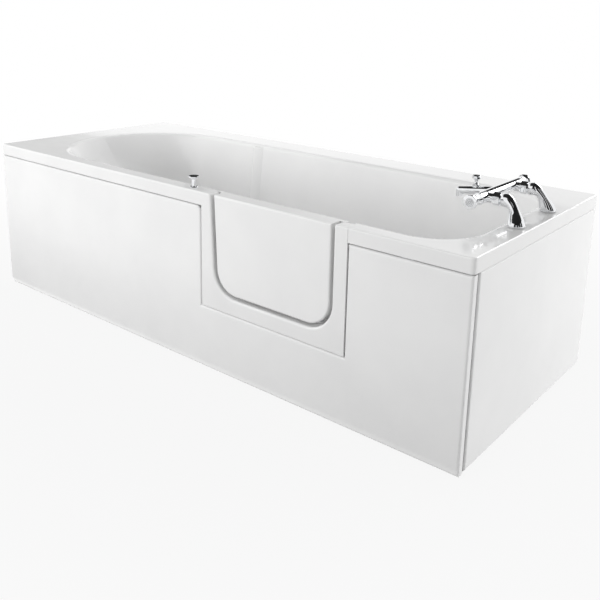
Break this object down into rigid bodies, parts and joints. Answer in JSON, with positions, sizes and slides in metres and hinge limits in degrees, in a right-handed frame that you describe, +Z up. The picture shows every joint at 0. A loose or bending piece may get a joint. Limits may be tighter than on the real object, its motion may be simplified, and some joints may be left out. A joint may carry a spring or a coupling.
{
  "type": "walk-in bath",
  "caption": "Panelled rectangular walk-in bath with a side door that opens inwards, a push-down rim lock, a deck mixer and a pop-up waste.",
  "frame": {"origin": "centre of the footprint on the floor under the foot pads", "axes": "+X towards the tap end, -Y out of the panelled front with the door, +Z up"},
  "size_m": [1.7, 0.7, 0.559],
  "materials": {
    "white_acrylic": "smooth gloss",
    "foam": "cut foam",
    "seal_rubber": "matt grey",
    "foot_rubber": "matt black",
    "joint_plastic": "satin grey",
    "pipe_plastic": "satin white",
    "cable_plastic": "matt black",
    "board": "pressed board",
    "chrome": "mirror plated",
    "index_plastic": "polished",
    "aerator_plastic": "satin",
    "brass": "machined",
    "zinc_steel": "zinc plated",
    "stainless": "brushed"
  },
  "bodies": {
    "bath": {"aerator": "aerator_plastic", "backnuts": "brass", "base_board": "board", "bath_shell": "white_acrylic", "channel_screws": "zinc_steel", "control_cable": "cable_plastic", "deck_gaskets": "seal_rubber", "end_panel": "white_acrylic", "foot_nuts": "zinc_steel", "foot_pads": "foot_rubber", "foot_studs": "zinc_steel", "front_panel": "white_acrylic", "hinge_jamb_leaf_lower": "stainless", "hinge_jamb_leaf_upper": "stainless", "hinge_pins": "stainless", "inlet_tails": "brass", "jamb_screws": "stainless", "leg_channel_head": "zinc_steel", "leg_channel_middle": "zinc_steel", "leg_channel_tap": "zinc_steel", "lock_case": "zinc_steel", "lock_collar": "chrome", "mixer_body": "chrome", "mixer_leg_back": "chrome", "mixer_leg_front": "chrome", "overflow_elbow": "pipe_plastic", "overflow_face": "chrome", "overflow_pipe": "pipe_plastic", "overflow_seal": "seal_rubber", "panel_clips": "zinc_steel", "panel_joint_strip": "joint_plastic", "panel_stays": "zinc_steel", "spout": "chrome", "union_nuts": "chrome", "valve_back": "brass", "valve_front": "brass", "wall_brackets": "zinc_steel", "waste_body": "pipe_plastic", "waste_flange": "chrome", "waste_seal": "seal_rubber"},
    "door": {"door_tray": "white_acrylic", "door_core": "foam", "door_leaf": "white_acrylic", "door_seal": "seal_rubber", "door_strike": "stainless", "hinge_door_leaf_lower": "stainless", "hinge_door_leaf_upper": "stainless", "hinge_door_screws": "stainless"},
    "lock_knob": {"lock_knob": "chrome", "lock_rod": "zinc_steel"},
    "lock_bolt": {"lock_bolt": "zinc_steel"},
    "handle_front": {"handle_front": "chrome", "index_disc_front": "index_plastic", "spindle_front": "brass"},
    "handle_back": {"handle_back": "chrome", "index_disc_back": "index_plastic", "spindle_back": "brass"},
    "diverter": {"diverter_knob": "chrome"},
    "overflow_knob": {"overflow_knob": "chrome"},
    "plug": {"waste_plug": "chrome"}
  },
  "joints": [
    {"name": "door_hinge", "type": "hinge", "parent": "bath", "child": "door", "pos_m": [0.532, -0.306, 0.38], "axis": [0, 0, -1], "range_deg": [0, 95]},
    {"name": "lock_push", "type": "slide", "parent": "bath", "child": "lock_knob", "axis": [0, 0, -1], "range_m": [0, 0.018]},
    {"name": "lock_throw", "type": "slide", "parent": "bath", "child": "lock_bolt", "axis": [1, 0, 0], "range_m": [0, 0.018]},
    {"name": "tap_front", "type": "hinge", "parent": "bath", "child": "handle_front", "pos_m": [0.73, -0.12, 0.531], "axis": [0, -1, 0], "range_deg": [0, 90]},
    {"name": "tap_back", "type": "hinge", "parent": "bath", "child": "handle_back", "pos_m": [0.73, 0.12, 0.531], "axis": [0, 1, 0], "range_deg": [0, 90]},
    {"name": "diverter_pull", "type": "slide", "parent": "bath", "child": "diverter", "axis": [0, 0, 1], "range_m": [0, 0.009]},
    {"name": "overflow_turn", "type": "hinge", "parent": "bath", "child": "overflow_knob", "pos_m": [0.76838, -0.029, 0.39], "axis": [-0.9887, 0, 0.1497], "range_deg": [0, 90]},
    {"name": "plug_lift", "type": "slide", "parent": "bath", "child": "plug", "axis": [0, 0, 1], "range_m": [0, 0.0101]}
  ],
  "couplings": [
    {"joint": "lock_throw", "follows": "lock_push", "ratio": 1},
    {"joint": "plug_lift", "follows": "overflow_turn", "m_per_rad": 0.0063662}
  ]
}
